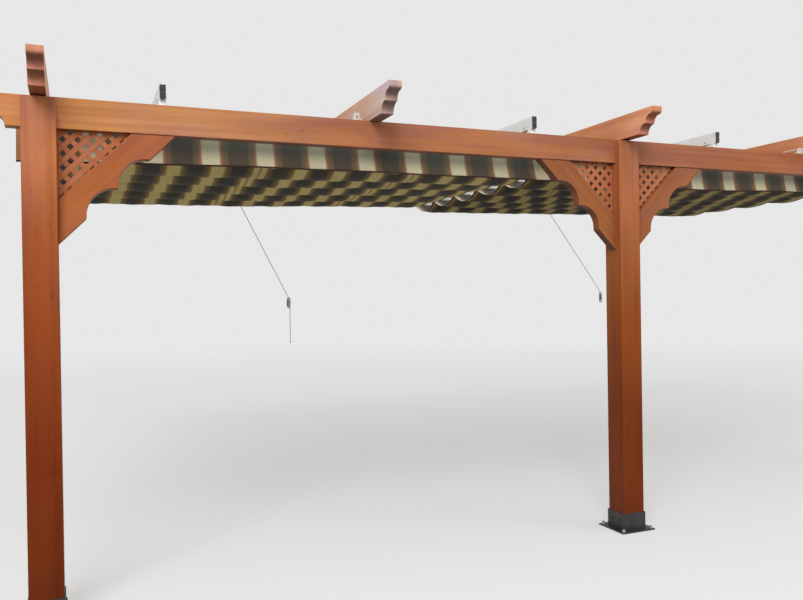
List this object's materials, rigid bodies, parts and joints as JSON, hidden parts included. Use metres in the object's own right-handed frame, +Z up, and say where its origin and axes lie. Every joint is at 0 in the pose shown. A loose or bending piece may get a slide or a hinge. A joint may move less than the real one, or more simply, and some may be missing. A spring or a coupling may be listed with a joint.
{
  "type": "wooden pergola",
  "caption": "Timber pergola leaning on a wall: scrolled beam and rafters on braced posts with lattice corners, striped canvas awnings hung in waves below.",
  "frame": {"origin": "centre of the middle post's shoe, on the ground under its base plate", "axes": "+X along the front beam to the right as seen from the garden, +Y from the posts towards the house wall, +Z up"},
  "size_m": [7.118, 3.729, 2.553],
  "materials": {
    "stained_pine": "pine stained honey brown under a satin oil finish, planed, knots showing",
    "black_steel": "black paint on welded steel, satin",
    "zinc_steel": "zinc plated, dull",
    "white_aluminium": "white lacquered extrusion",
    "black_plastic": "moulded, fine grain",
    "white_plastic": "moulded nylon",
    "grey_rope": "braided polyester rope, 6 mm, weathered grey",
    "striped_canvas": "woven acrylic canvas, wide charcoal and beige stripes with olive and terracotta edges"
  },
  "bodies": {
    "root": {"shoe_left": "black_steel", "post_left": "stained_pine", "shoe_middle": "black_steel", "post_middle": "stained_pine", "shoe_right": "black_steel", "post_right": "stained_pine", "front_beam": "stained_pine", "wall_ledger": "stained_pine", "rafter_1": "stained_pine", "rafter_2": "stained_pine", "rafter_3": "stained_pine", "rafter_4": "stained_pine", "rafter_5": "stained_pine", "brace_left_outer": "stained_pine", "lattice_left_outer": "stained_pine", "brace_left_inner": "stained_pine", "lattice_left_inner": "stained_pine", "brace_right_inner": "stained_pine", "lattice_right_inner": "stained_pine", "brace_right_outer": "stained_pine", "lattice_right_outer": "stained_pine", "rafter_hangers": "zinc_steel", "awning_rail_1": "white_aluminium", "awning_rail_2": "white_aluminium", "awning_rail_3": "white_aluminium", "awning_rail_4": "white_aluminium", "rail_caps": "black_plastic", "rail_brackets": "white_aluminium", "awning_bars_left": "white_aluminium", "bar_carriages_left": "white_plastic", "awning_cloth_left": "striped_canvas", "awning_valance_left": "striped_canvas", "awning_bars_right": "white_aluminium", "bar_carriages_right": "white_plastic", "awning_cloth_right": "striped_canvas", "awning_valance_right": "striped_canvas", "cord_pulleys": "white_plastic", "haul_lines": "grey_rope", "cord_cleats": "zinc_steel", "pull_cord_left": "grey_rope", "cord_wrap_left": "grey_rope", "pull_cord_right": "grey_rope", "cord_wrap_right": "grey_rope"}
  },
  "joints": []
}
